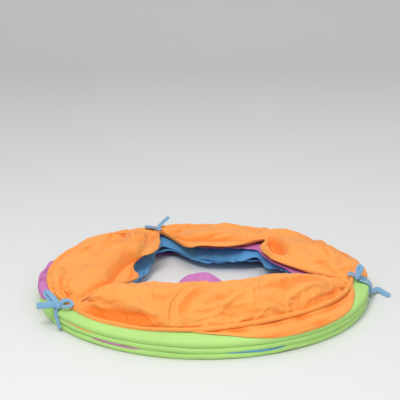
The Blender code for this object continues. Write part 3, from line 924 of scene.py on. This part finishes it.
# Creases of the mouth, one lobe after the other
MOUTH_CREASES = (
    (((222, 34), (226, 29), (232, 25)), -3.5, 2, 7),
    (((226, 19), (233, 14), (240, 16), (247, 17), (254, 17)), -6, 3, 14),
    (((221, 38), (230, 25), (241, 22), (252, 23)), 3, 6, 5), (((248, 19), (252, 13)), -1.2, 2, 4),
    (((248, 49), (253, 44), (258, 43)), 2.2, 2, 6),
    (((265, 50), (260, 41), (257.5, 31), (257, 22), (258, 13)), 3.2, 3, 8),
    (((269, 44), (264, 34), (262, 25), (263, 15)), -3, 10, 3),
    (((248, 36), (252, 37), (258, 36)), -1.8, 2, 5),
    (((273, 16), (277, 24), (281, 30), (286, 35), (292, 37)), 2.8, 9, 3),
    (((290, 37), (288, 23)), 1.6, 2, 6), (((270, 26), (276, 31), (282, 37), (290, 42)), -3, 7, 5),
    (((266, 19), (278, 24), (290, 23)), -1.8, 2, 7),
    (((269, 13), (276, 18), (286, 17), (296, 13)), -1.4, 2, 5),
    (((295, 37), (314, 41), (332, 36), (345, 28)), -3.4, 3, 10),
    (((276, 38), (292, 44), (309, 45), (326, 40), (340, 33)), 2.4, 8, 8),
    (((300, 22), (314, 28), (330, 28), (343, 24)), 2.6, 6, 4),
    (((334, 28), (337, 22), (343, 20)), -2.4, 2, 3),
    (((311, 13), (321, 16), (334, 19), (343, 17)), -3, 3, 7),
    (((293, 27), (302, 17), (306, 13)), -1.4, 4, 6),
    (((222, 10), (244, 7), (273, 7.5), (297, 9), (328, 11), (346, 12)), -1.6, 2.4, 2.4),
    (((114, 46), (122, 57), (131, 64), (142, 68),
      (156, 72), (168, 68), (182, 67), (197, 62), (208, 56)), 7.5, 3, 12),
    (((150, 79), (168, 74), (176, 72), (190, 69), (203, 65), (211, 58)), -7, 8, 3),
    (((122, 52), (129, 57), (138, 60), (148, 65), (157, 68)), 4.5, 3.5, 4.5),
    (((117, 50), (124, 56), (134, 62), (146, 67.5)), -4, 2.5, 2.5),
    (((142, 65), (136, 57), (130, 48)), -4.5, 3, 3),
    (((118, 44), (126, 52), (134, 50), (144, 42)), -5, 3, 6),
    (((136, 46), (146, 52), (150, 58), (153, 65)), 5, 3, 7),
    (((174, 64), (165, 59), (156, 60), (148, 66)), 4, 3, 8),
    (((168, 30), (163, 33), (158, 42), (150, 45)), -2.2, 2, 6),
    (((177, 34), (186, 44), (200, 48), (213, 44)), 2.2, 3, 6),
    (((215, 38), (206, 50), (193, 57), (180, 58)), 2.6, 3, 6),
    (((214, 30), (204, 36), (190, 38)), -2, 3, 4), (((98, 40), (103, 52), (107, 60)), -1.8, 3, 3),
    (((108, 60), (103, 65.5), (89, 64), (78, 59)), -4, 3, 3),
    (((100, 70), (90, 68), (80, 65.5), (68, 59), (54, 56.5)), -2.6, 2.5, 3.5),
    (((96, 66.5), (84, 65), (72, 60)), 2.4, 3, 2.5),
    (((62, 62), (54, 56.5), (50, 55), (40, 59), (29, 63), (18, 65), (8, 66)), 5, 9, 2.2),
    (((47, 63), (38, 65), (28, 67.5), (18, 68.5)), -7.5, 5, 5),
    (((40, 71.5), (26, 73), (13, 70.5)), 3, 3, 4), (((8, 54), (4, 57.5), (1, 55)), -3.2, 2, 3.5),
    (((4, 67), (357, 62), (353, 54)), -2.6, 3, 4.5), (((10, 38), (2, 28), (355, 14)), -1.6, 3, 4),
    (((36, 20), (24, 24), (12, 22)), 3.4, 8, 8), (((30, 42), (18, 46), (8, 44)), -1.6, 4, 8),
)
# Painted shade on cloth that would lie in the shade of the cloth above it: degrees, percent across,
# how far that reaches in degrees and in percent, how deep
PAINTED_SHADE_SPOTS = (
    (192, 71, 17, 6, 0.75), (168, 70, 12, 4, 0.6), (122, 60, 6, 5, 0.6), (135, 66, 9, 3.5, 0.6),
    (145, 57, 8, 3, 0.5), (96, 68, 12, 3, 0.5), (26, 69, 10, 3, 0.6), (232, 24, 9, 5, 0.45),
    (212, 42, 5, 12, 0.3), (344, 26, 5, 8, 0.35),
)
# Fine pleats that fan out to each side of each tie: how long in degrees, how high and how wide
PLEAT_LENGTHS = (11, 17, 9, 20, 13)
PLEAT_HEIGHT = 1.7
PLEAT_WIDTHS = (2.2, 3)


def pleats():
    found = []
    for angle in TIES.values():
        for side in (-1, 1):
            for number, length in enumerate(PLEAT_LENGTHS):
                share = 10 + 11 * number
                bend = share + 3.5 * (number - 2)
                near = math.degrees(angle) + side * 1.5
                far = math.degrees(angle) + side * length
                way = ((near, share), ((near + far) / 2, share * 0.6 + bend * 0.4), (far, bend))
                found.append((way, PLEAT_HEIGHT * (1 if number % 2 else -1), *PLEAT_WIDTHS))
    return tuple(found)


# Outer side of the puff: shares of the way from the hem to the crest, inwards and upwards
PUFF_SIDE = ((0.0, 0.0), (0.09, 0.22), (0.24, 0.55), (0.46, 0.82), (0.74, 0.97), (1.0, 1.0))

# Shares of the rows, and of the points of the profile, that lie over the top
TOP_ROWS = 0.74
TOP_POINTS = 0.7


def puff_profile(angle, share):
    """Radius and height of the resting cloth, from the hem over the crest and back below."""
    crest, crown, inner, edge = around(angle, PUFF_KEYS)
    rim = drawn_radius(angle, 1.0) - HEM_OVERLAP
    hem_top = HEM_TOP + hoop_bend(angle)[1]
    points = [(rim - (rim - crest) * inward, hem_top + (crown - hem_top) * up) for inward, up in PUFF_SIDE]
    points += [
        (crest - 0.55 * (crest - inner), crown - 0.28 * (crown - edge)),
        (inner, edge),
        (inner + 0.002, edge - 0.005),
        ((inner + rim) / 2, min(edge - 0.006, 0.0310)),
        (rim - 0.006, 0.0290),
    ]
    # The way over the top is longer than the way back, so it gets more of the rows
    if share < TOP_ROWS:
        return catmull(points, share / TOP_ROWS * TOP_POINTS)
    return catmull(points, TOP_POINTS + (share - TOP_ROWS) / (1 - TOP_ROWS) * (1 - TOP_POINTS))


def puff_rows():
    rows = []
    for station in range(PUFF_STATIONS):
        angle = CRIMP_ANGLE - math.tau * station / PUFF_STATIONS
        rows.append([at(angle, *puff_profile(angle, share)) for share in PUFF_SHARES])
    return rows


def wrinkled(points):
    """The cloth with its folds, pleats and slack, and its painted shade in dents and under other cloth."""
    count, steps = points.shape[:2]
    degrees = (math.degrees(CRIMP_ANGLE) - 360 * np.arange(count) / count) % 360
    degrees = np.tile(degrees[:, None], (1, steps))
    shares = np.tile(np.linspace(0, 1, steps)[None, :], (count, 1))
    heights = MOUTH_STRENGTH * crease_heights(degrees, shares, MOUTH_CREASES + pleats(), PUFF_LENGTH)
    ridges = 0.5 * grid_noise(points, 17, 4.0) + 0.5 * grid_noise(points * (1.0, 1.0, 1.8), 36, 12.0)
    sharp = np.clip(1 - np.abs(ridges) / 0.16, 0, 1) ** 2
    heights += 0.0013 * sharp * grid_noise(points, 9, 8.0) * 2
    heights += 0.0018 * grid_noise(points, 22, 1.0) + 0.0007 * grid_noise(points, 60, 7.0)
    shown = np.clip(shares / 0.05, 0, 1) * np.clip((0.84 - shares) / 0.06, 0, 1)
    # Painted shade: darker in the dents of the creases, and where the cloth above would shade it
    painted_shades = np.clip(-heights * shown / MOUTH_DENT, 0, 1)
    for place, share, wide, tall, deep in PAINTED_SHADE_SPOTS:
        away = ((degrees - place + 180) % 360 - 180) / wide
        off = (shares / PERCENT - share) / tall
        painted_shades = np.maximum(painted_shades, deep * np.exp(-(away**2) - off**2))
    return raised(points, heights * shown, True), painted_shades


CLOTH_SETTINGS = {
    "quality": 6,
    "mass": 0.08,
    "tension_stiffness": 12,
    "compression_stiffness": 4,
    "shear_stiffness": 3,
    "bending_stiffness": 0.03,
    "tension_damping": 6,
    "compression_damping": 6,
    "shear_damping": 6,
    "bending_damping": 0.6,
    "air_damping": 3,
    "use_pressure": True,
    "uniform_pressure_force": SETTLE_PRESSURE,
    "shrink_min": SETTLE_SHRINK,
    "vertex_group_mass": "pins",
    "pin_stiffness": 4,
}


def simulate(rows, spacing, pins):
    """Let a ring of cloth billow and settle, and return where its points end."""
    mesh = grid_mesh("cloth_at_rest", rows, True, spacing)
    made = add("cloth_at_rest", mesh, CLOTH["orange"])
    group = made.vertex_groups.new(name="pins")
    for index, weight in enumerate(pins):
        if weight > 0:
            group.add([index], weight, "REPLACE")
    cloth = made.modifiers.new("cloth", "CLOTH")
    for title, value in CLOTH_SETTINGS.items():
        setattr(cloth.settings, title, value)
    cloth.settings.effector_weights.gravity = 0.0
    cloth.collision_settings.use_self_collision = False
    cloth.point_cache.frame_start = 1
    cloth.point_cache.frame_end = SETTLE_FRAMES
    scene = bpy.context.scene
    for number in range(1, SETTLE_FRAMES + 1):
        scene.frame_set(number)
    settled = made.evaluated_get(bpy.context.evaluated_depsgraph_get())
    result = []
    for before, after in zip(mesh.vertices, settled.data.vertices):
        moved = after.co - before.co
        if moved.length > SETTLE_REACH:
            moved = moved.normalized() * SETTLE_REACH
        result.append(before.co + moved)
    scene.frame_set(1)
    bpy.data.objects.remove(made, do_unlink=True)
    return result


def mouth_cloth():
    points, painted_shades = wrinkled(np.array(puff_rows()))
    spacing = (math.tau * FOLDED_RADIUS / PUFF_STATIONS, 2 * FOLD_DEPTH / PUFF_STEPS)
    # The cloth is held at the hem, and from the inner edge on
    held = [max(1 - smooth((one - 0.02) / 0.07), smooth((one - 0.62) / 0.10)) for one in PUFF_SHARES]
    settled = simulate(points, spacing, held * PUFF_STATIONS)
    points = np.array(settled).reshape(points.shape)
    rows = []
    for station, line in enumerate(points):
        turn = OPENING_TURNS + station / PUFF_STATIONS
        angle, start, end = turn_angle(turn), turn_radius(turn + 1), turn_radius(turn)
        row = []
        for share, packed in zip(PUFF_SHARES, line):
            opened = open_point(angle, start, end, share, MOUTH_SLACK, 21 * angle + 5 * share)
            row.append((packed, opened, 1.0 + (turn_share(turn) - 1.0) * share))
        rows.append(row)
    made = stretchy("mouth_roll_cloth", rows, True, spacing, CLOTH["orange"])
    # Painted shade of the creases, and of cloth lying under other cloth
    store(made.data, "painted_shade", painted_shades.reshape(-1))
    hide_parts("mouth_roll")


mouth_cloth()


# The wire

# Rows of the wire's mesh to a turn, and its sides
WIRE_STATIONS = 120
WIRE_SIDES = 8


def wire_piece():
    rows = []
    for station in range(WIRE_TURNS * WIRE_STATIONS + 1):
        turn = station / WIRE_STATIONS
        angle = turn_angle(turn)
        row = []
        for step in range(WIRE_SIDES + 1):
            bend = math.tau * step / WIRE_SIDES
            radius, up = turn_radius(turn) + WIRE_RADIUS * math.cos(bend), WIRE_RADIUS * math.sin(bend)
            packed = at(angle, radius, turn_height(turn) + up)
            row.append((packed, at(angle, radius, CASING_HALF + up), turn_share(turn)))
        rows.append(row)
    made = stretchy("spring_wire", rows, False, (0.004, 0.004), SPRING, 0.0, 0)
    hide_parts("spring_coil")


wire_piece()

for title in ("bottom_crimp_sleeve", "top_crimp_sleeve"):
    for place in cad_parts[title].material_slots:
        place.material = CRIMP

# Ribbon ties. Each piece: body, width, the directions that its face has at the start and at the end,
# and its way as (degrees, radius, height)
TIE_PIECES = {
    "left_tie_tail": ("mouth", 8.5, (-0.1, -0.9, 0.3), (-0.2, -0.9, 0.5), (
        (214.9, 242, 33.5), (214.3, 248, 34.8), (213.2, 254.5, 33.8), (211.8, 260, 32.2),
        (210.9, 263, 31.2),
    )),
    "left_tie_long_loop": ("mouth", 7, (0.3, -0.8, 0.6), (0.3, -0.8, 0.6), (
        (214.6, 240, 35), (212.6, 240, 38.5), (209.4, 240.5, 41.5), (207.6, 241.2, 42.2),
        (206.6, 242.8, 40.2), (208.2, 244, 38.5), (211, 244, 36.5), (214.2, 243, 34.5),
    )),
    "left_tie_short_loop": ("mouth", 4.5, (0, -0.8, 0.6), (0, -0.8, 0.6), (
        (217.2, 240, 34.5), (219, 237.5, 36), (220.5, 233.5, 37.8), (220, 230, 40), (217.6, 229, 40.5),
        (216.2, 233, 39.2), (215.8, 237, 36.5),
    )),
    "left_tie_lower_strap": ("bottom", 6, (-0.4, -0.9, 0.1), (-0.6, -0.8, 0.1), (
        (214.6, 242.5, 29.2), (214.9, 243.6, 23.5), (215.5, 244.2, 17), (216.5, 244.7, 10.5),
        (218, 245.2, 4.5),
    )),
    "left_tie_upper_strap": ("mouth", 8, (0, -0.3, 0.95), (-0.2, -0.5, 0.8), (
        (215.8, 226.5, 38.8), (215.6, 231, 38.8), (215.4, 235.5, 36.8), (215.3, 238.5, 34.8),
    )),
    "right_tie_short_loop": ("mouth", 6, (0, -0.8, 0.6), (0.3, -0.8, 0.5), (
        (351.5, 224, 38.5), (353, 224.5, 42.5), (354.3, 226.2, 46.2), (354.8, 229, 47.2),
        (353.6, 230.7, 45.5), (352.2, 228.5, 42), (351, 225.5, 38.5),
    )),
    "right_tie_long_loop": ("mouth", 2.4, (0, -0.5, 0.85), (0, -0.5, 0.85), (
        (350.4, 221.5, 37.5), (350.6, 217, 39.2), (351.2, 212.5, 39.8), (352.6, 212, 39.4),
        (353.2, 216, 39.2), (352.2, 220.5, 38),
    )),
    "right_tie_tail": ("mouth", 8.5, (0.2, -0.9, 0.4), (-0.2, -0.6, 0.8), (
        (350.8, 224.5, 34.5), (352.4, 229.2, 31.8), (353.8, 234.5, 28.2), (353.6, 241.2, 22.2),
        (354.2, 245, 12), (357.6, 252, 6), (359.2, 258, 4.5), (357.6, 264, 3.5), (354.9, 272.2, 2.6),
    )),
    "right_tie_lower_strap": ("bottom", 8, (0.3, 0, 0.95), (1, 0, 0.1), (
        (350.6, 227.5, 31.8), (350.8, 234.5, 29.6), (351, 241.8, 25.6), (351, 244.6, 20),
        (351, 245.2, 12), (351, 244, 4.5),
    )),
    "right_tie_upper_strap": ("mouth", 3.6, (0, 0, 1), (0.3, 0, 0.9), (
        (350.4, 209.8, 38.6), (350.5, 215, 39.2), (350.6, 220.8, 37.2),
    )),
    "back_tie_tail": ("mouth", 5.5, (0, -0.9, 0.4), (0.1, -0.9, 0.4), (
        (110.2, 216.5, 36.5), (109, 218, 40.5), (107.2, 221.5, 44.5), (105.6, 225.8, 47),
        (104.6, 230.5, 48.6),
    )),
    "back_tie_loop": ("mouth", 4.5, (0, -0.9, 0.4), (0, -0.9, 0.4), (
        (111.5, 216, 35), (113.2, 216.5, 37.5), (115, 218, 39), (116, 220, 38.6), (115, 221.7, 37),
        (112.5, 219.5, 35.5),
    )),
    "back_tie_lower_strap": ("bottom", 9, (-0.1, 0.3, 0.95), (-0.34, 0.94, 0.1), (
        (110.5, 224.5, 31.2), (110.5, 232, 30.2), (110.5, 240.5, 26.2), (110.5, 244, 20),
        (110.5, 244.8, 12), (110.5, 243.6, 4.5),
    )),
    "back_tie_upper_strap": ("mouth", 8, (0, 0, 1), (0, 0.2, 1), (
        (110.5, 204, 35.2), (110.5, 210, 36.4), (110.5, 215, 35.2),
    )),
}
# Place of each knot, and its half sizes outwards, sideways and upwards
TIE_KNOTS = {
    "left_tie_knot": ((215.3, 240.5, 33), (4, 5.8, 4.4)),
    "right_tie_knot": ((350.6, 223.8, 36), (3.8, 5, 4.4)),
    "back_tie_knot": ((110.5, 216.5, 33.8), (4, 5.2, 3.8)),
}
RIBBON_ROWS = 40
RIBBON_COLUMNS = 7
RIBBON_THICKNESS = 0.0005


def ribbon_piece(name, body, width, first_face, last_face, path):
    width *= MM
    spots = [at(math.radians(place), radius * MM, height * MM) for place, radius, height in path]
    line = [Vector(catmull(spots, row / (RIBBON_ROWS - 1))) for row in range(RIBBON_ROWS)]
    rows = []
    length = 0.0
    for row, point in enumerate(line):
        before, after = line[max(row - 1, 0)], line[min(row + 1, RIBBON_ROWS - 1)]
        length += (after - point).length
        along = (after - before).normalized()
        face = Vector(first_face).lerp(Vector(last_face), row / (RIBBON_ROWS - 1))
        across = along.cross(face)
        across = across.normalized() if across.length > 0.05 else Vector((0, 0, 1))
        face = across.cross(along)
        curl = 0.05 * width + 0.0005 * noise.noise(point * 150)
        cells = []
        for column in range(RIBBON_COLUMNS):
            side = 2 * column / (RIBBON_COLUMNS - 1) - 1
            cells.append(point + across * side * width / 2 - face * curl * side * side)
        rows.append(cells)
    mesh = grid_mesh(name, rows, False, (length / RIBBON_ROWS, width / (RIBBON_COLUMNS - 1)))
    made = add(f"{name}_ribbon", mesh, RIBBON)
    thicken(made, RIBBON_THICKNESS)
    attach(made, body)
    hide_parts(name)


def finished(name, shape):
    """Smooth mesh of a shape that was built face by face."""
    mesh = bpy.data.meshes.new(name)
    shape.to_mesh(mesh)
    shape.free()
    mesh.shade_smooth()
    return mesh


def knot_piece(name, place, sizes):
    """Ribbon drawn tight: a small cushion with the turns of the ribbon across it."""
    degrees, radius, height = place
    deep, wide, tall = (size * MM for size in sizes)
    angle = math.radians(degrees)
    centre = at(angle, radius * MM, height * MM)
    outward = Vector((math.cos(angle), math.sin(angle), 0))
    sideways = Vector((-outward.y, outward.x, 0))
    shape = bmesh.new()
    bmesh.ops.create_icosphere(shape, subdivisions=4, radius=1.0)
    layer = shape.loops.layers.uv.new("UVMap")
    for vert in shape.verts:
        out, side, up = vert.co
        size = 1 + 0.10 * math.sin(5 * side + 2 * up + 1)
        size += 0.12 * noise.noise(vert.co * 2.2 + Vector((degrees, 0, 0)))
        pinched = 1 - 0.22 * math.exp(-((side + 0.25 * up) / 0.25) ** 2)
        spot = outward * out * deep + sideways * side * wide + Vector((0, 0, up * tall)) * pinched
        vert.co = centre + spot * size
    for face in shape.faces:
        for loop in face.loops:
            spot = loop.vert.co - centre
            loop[layer].uv = (spot.dot(sideways), spot.z)
    made = add(f"{name}_ribbon", finished(name, shape), RIBBON)
    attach(made, "mouth")
    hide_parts(name)


for title, values in TIE_PIECES.items():
    ribbon_piece(title, *values)
for title, values in TIE_KNOTS.items():
    knot_piece(title, *values)


# Stage, light and camera

FLOOR_SIDE = 9.0
FLOOR_BACK = 2.2
FLOOR_BEND = 1.2
FLOOR_BEND_STEPS = 12
WALL_TOP = 4.0
# Place, size and power of each lamp; all point at the origin
LAMPS = {
    "key_light": ((-0.55, -1.15, 1.75), 0.9, 21),
    "top_light": ((0.05, 0.1, 1.7), 0.5, 3.5),
    "fill_light": ((1.4, -1.7, 1.2), 1.8, 6),
    "back_light": ((0.6, 1.6, 1.9), 1.6, 4),
}


def stage():
    """Pale floor that bends up into a wall behind the tunnel."""
    shape = bmesh.new()
    profile = [(-FLOOR_SIDE, 0.0), (FLOOR_BACK, 0.0)]
    for step in range(1, FLOOR_BEND_STEPS + 1):
        bend = math.pi / 2 * step / FLOOR_BEND_STEPS
        profile.append((FLOOR_BACK + FLOOR_BEND * math.sin(bend), FLOOR_BEND * (1 - math.cos(bend))))
    profile.append((FLOOR_BACK + FLOOR_BEND, WALL_TOP))
    left, right = (
        [shape.verts.new((side, y, z)) for y, z in profile] for side in (-FLOOR_SIDE, FLOOR_SIDE)
    )
    for index in range(len(profile) - 1):
        shape.faces.new((left[index], right[index], right[index + 1], left[index + 1]))
    bmesh.ops.recalc_face_normals(shape, faces=shape.faces)
    made, tree, shader = node_material("pale_floor", {"Roughness": 0.6})
    patches = placed(tree, "ShaderNodeTexNoise", "Object", {"Scale": 2.0})
    ramp = tone_ramp(tree, patches, (0.73, 0.73, 0.725), (0.76, 0.755, 0.75))
    link(tree, ramp, "Color", shader, "Base Color")
    add("floor", finished("floor", shape), made)


def area_light(name, place, size, power):
    lamp = bpy.data.lights.new(name, "AREA")
    lamp.shape = "DISK"
    lamp.size = size
    lamp.energy = power
    made = bpy.data.objects.new(name, lamp)
    bpy.context.scene.collection.objects.link(made)
    made.location = place
    made.rotation_euler = (-Vector(place)).to_track_quat("-Z", "Y").to_euler()


stage()
for title, values in LAMPS.items():
    area_light(title, *values)

scene = bpy.context.scene
world = bpy.data.worlds.new("room")
scene.world = world
world.use_nodes = True
background = world.node_tree.nodes["Background"]
background.inputs["Color"].default_value = (0.93, 0.95, 0.97, 1)
background.inputs["Strength"].default_value = 0.62
scene.view_settings.view_transform = "Standard"

CAMERA_DISTANCE = 1.5
CAMERA_ELEVATION = math.radians(21.05)
CAMERA_ASIDE = -0.0054
LOOK_HEIGHT = 0.1412
SENSOR = 36.0
FOCAL_PIXELS = 1005.0
PICTURE_PIXELS = 400

lens = bpy.data.cameras.new("camera")
lens.sensor_width = SENSOR
lens.lens = SENSOR * FOCAL_PIXELS / PICTURE_PIXELS
lens.clip_end = 20
camera = bpy.data.objects.new("camera", lens)
scene.collection.objects.link(camera)
away = CAMERA_DISTANCE * math.cos(CAMERA_ELEVATION)
camera.location = AXIS + Vector((CAMERA_ASIDE, -away, CAMERA_DISTANCE * math.sin(CAMERA_ELEVATION)))
target = AXIS + Vector((CAMERA_ASIDE, 0.0, LOOK_HEIGHT))
camera.rotation_euler = (target - camera.location).to_track_quat("-Z", "Y").to_euler()
scene.camera = camera
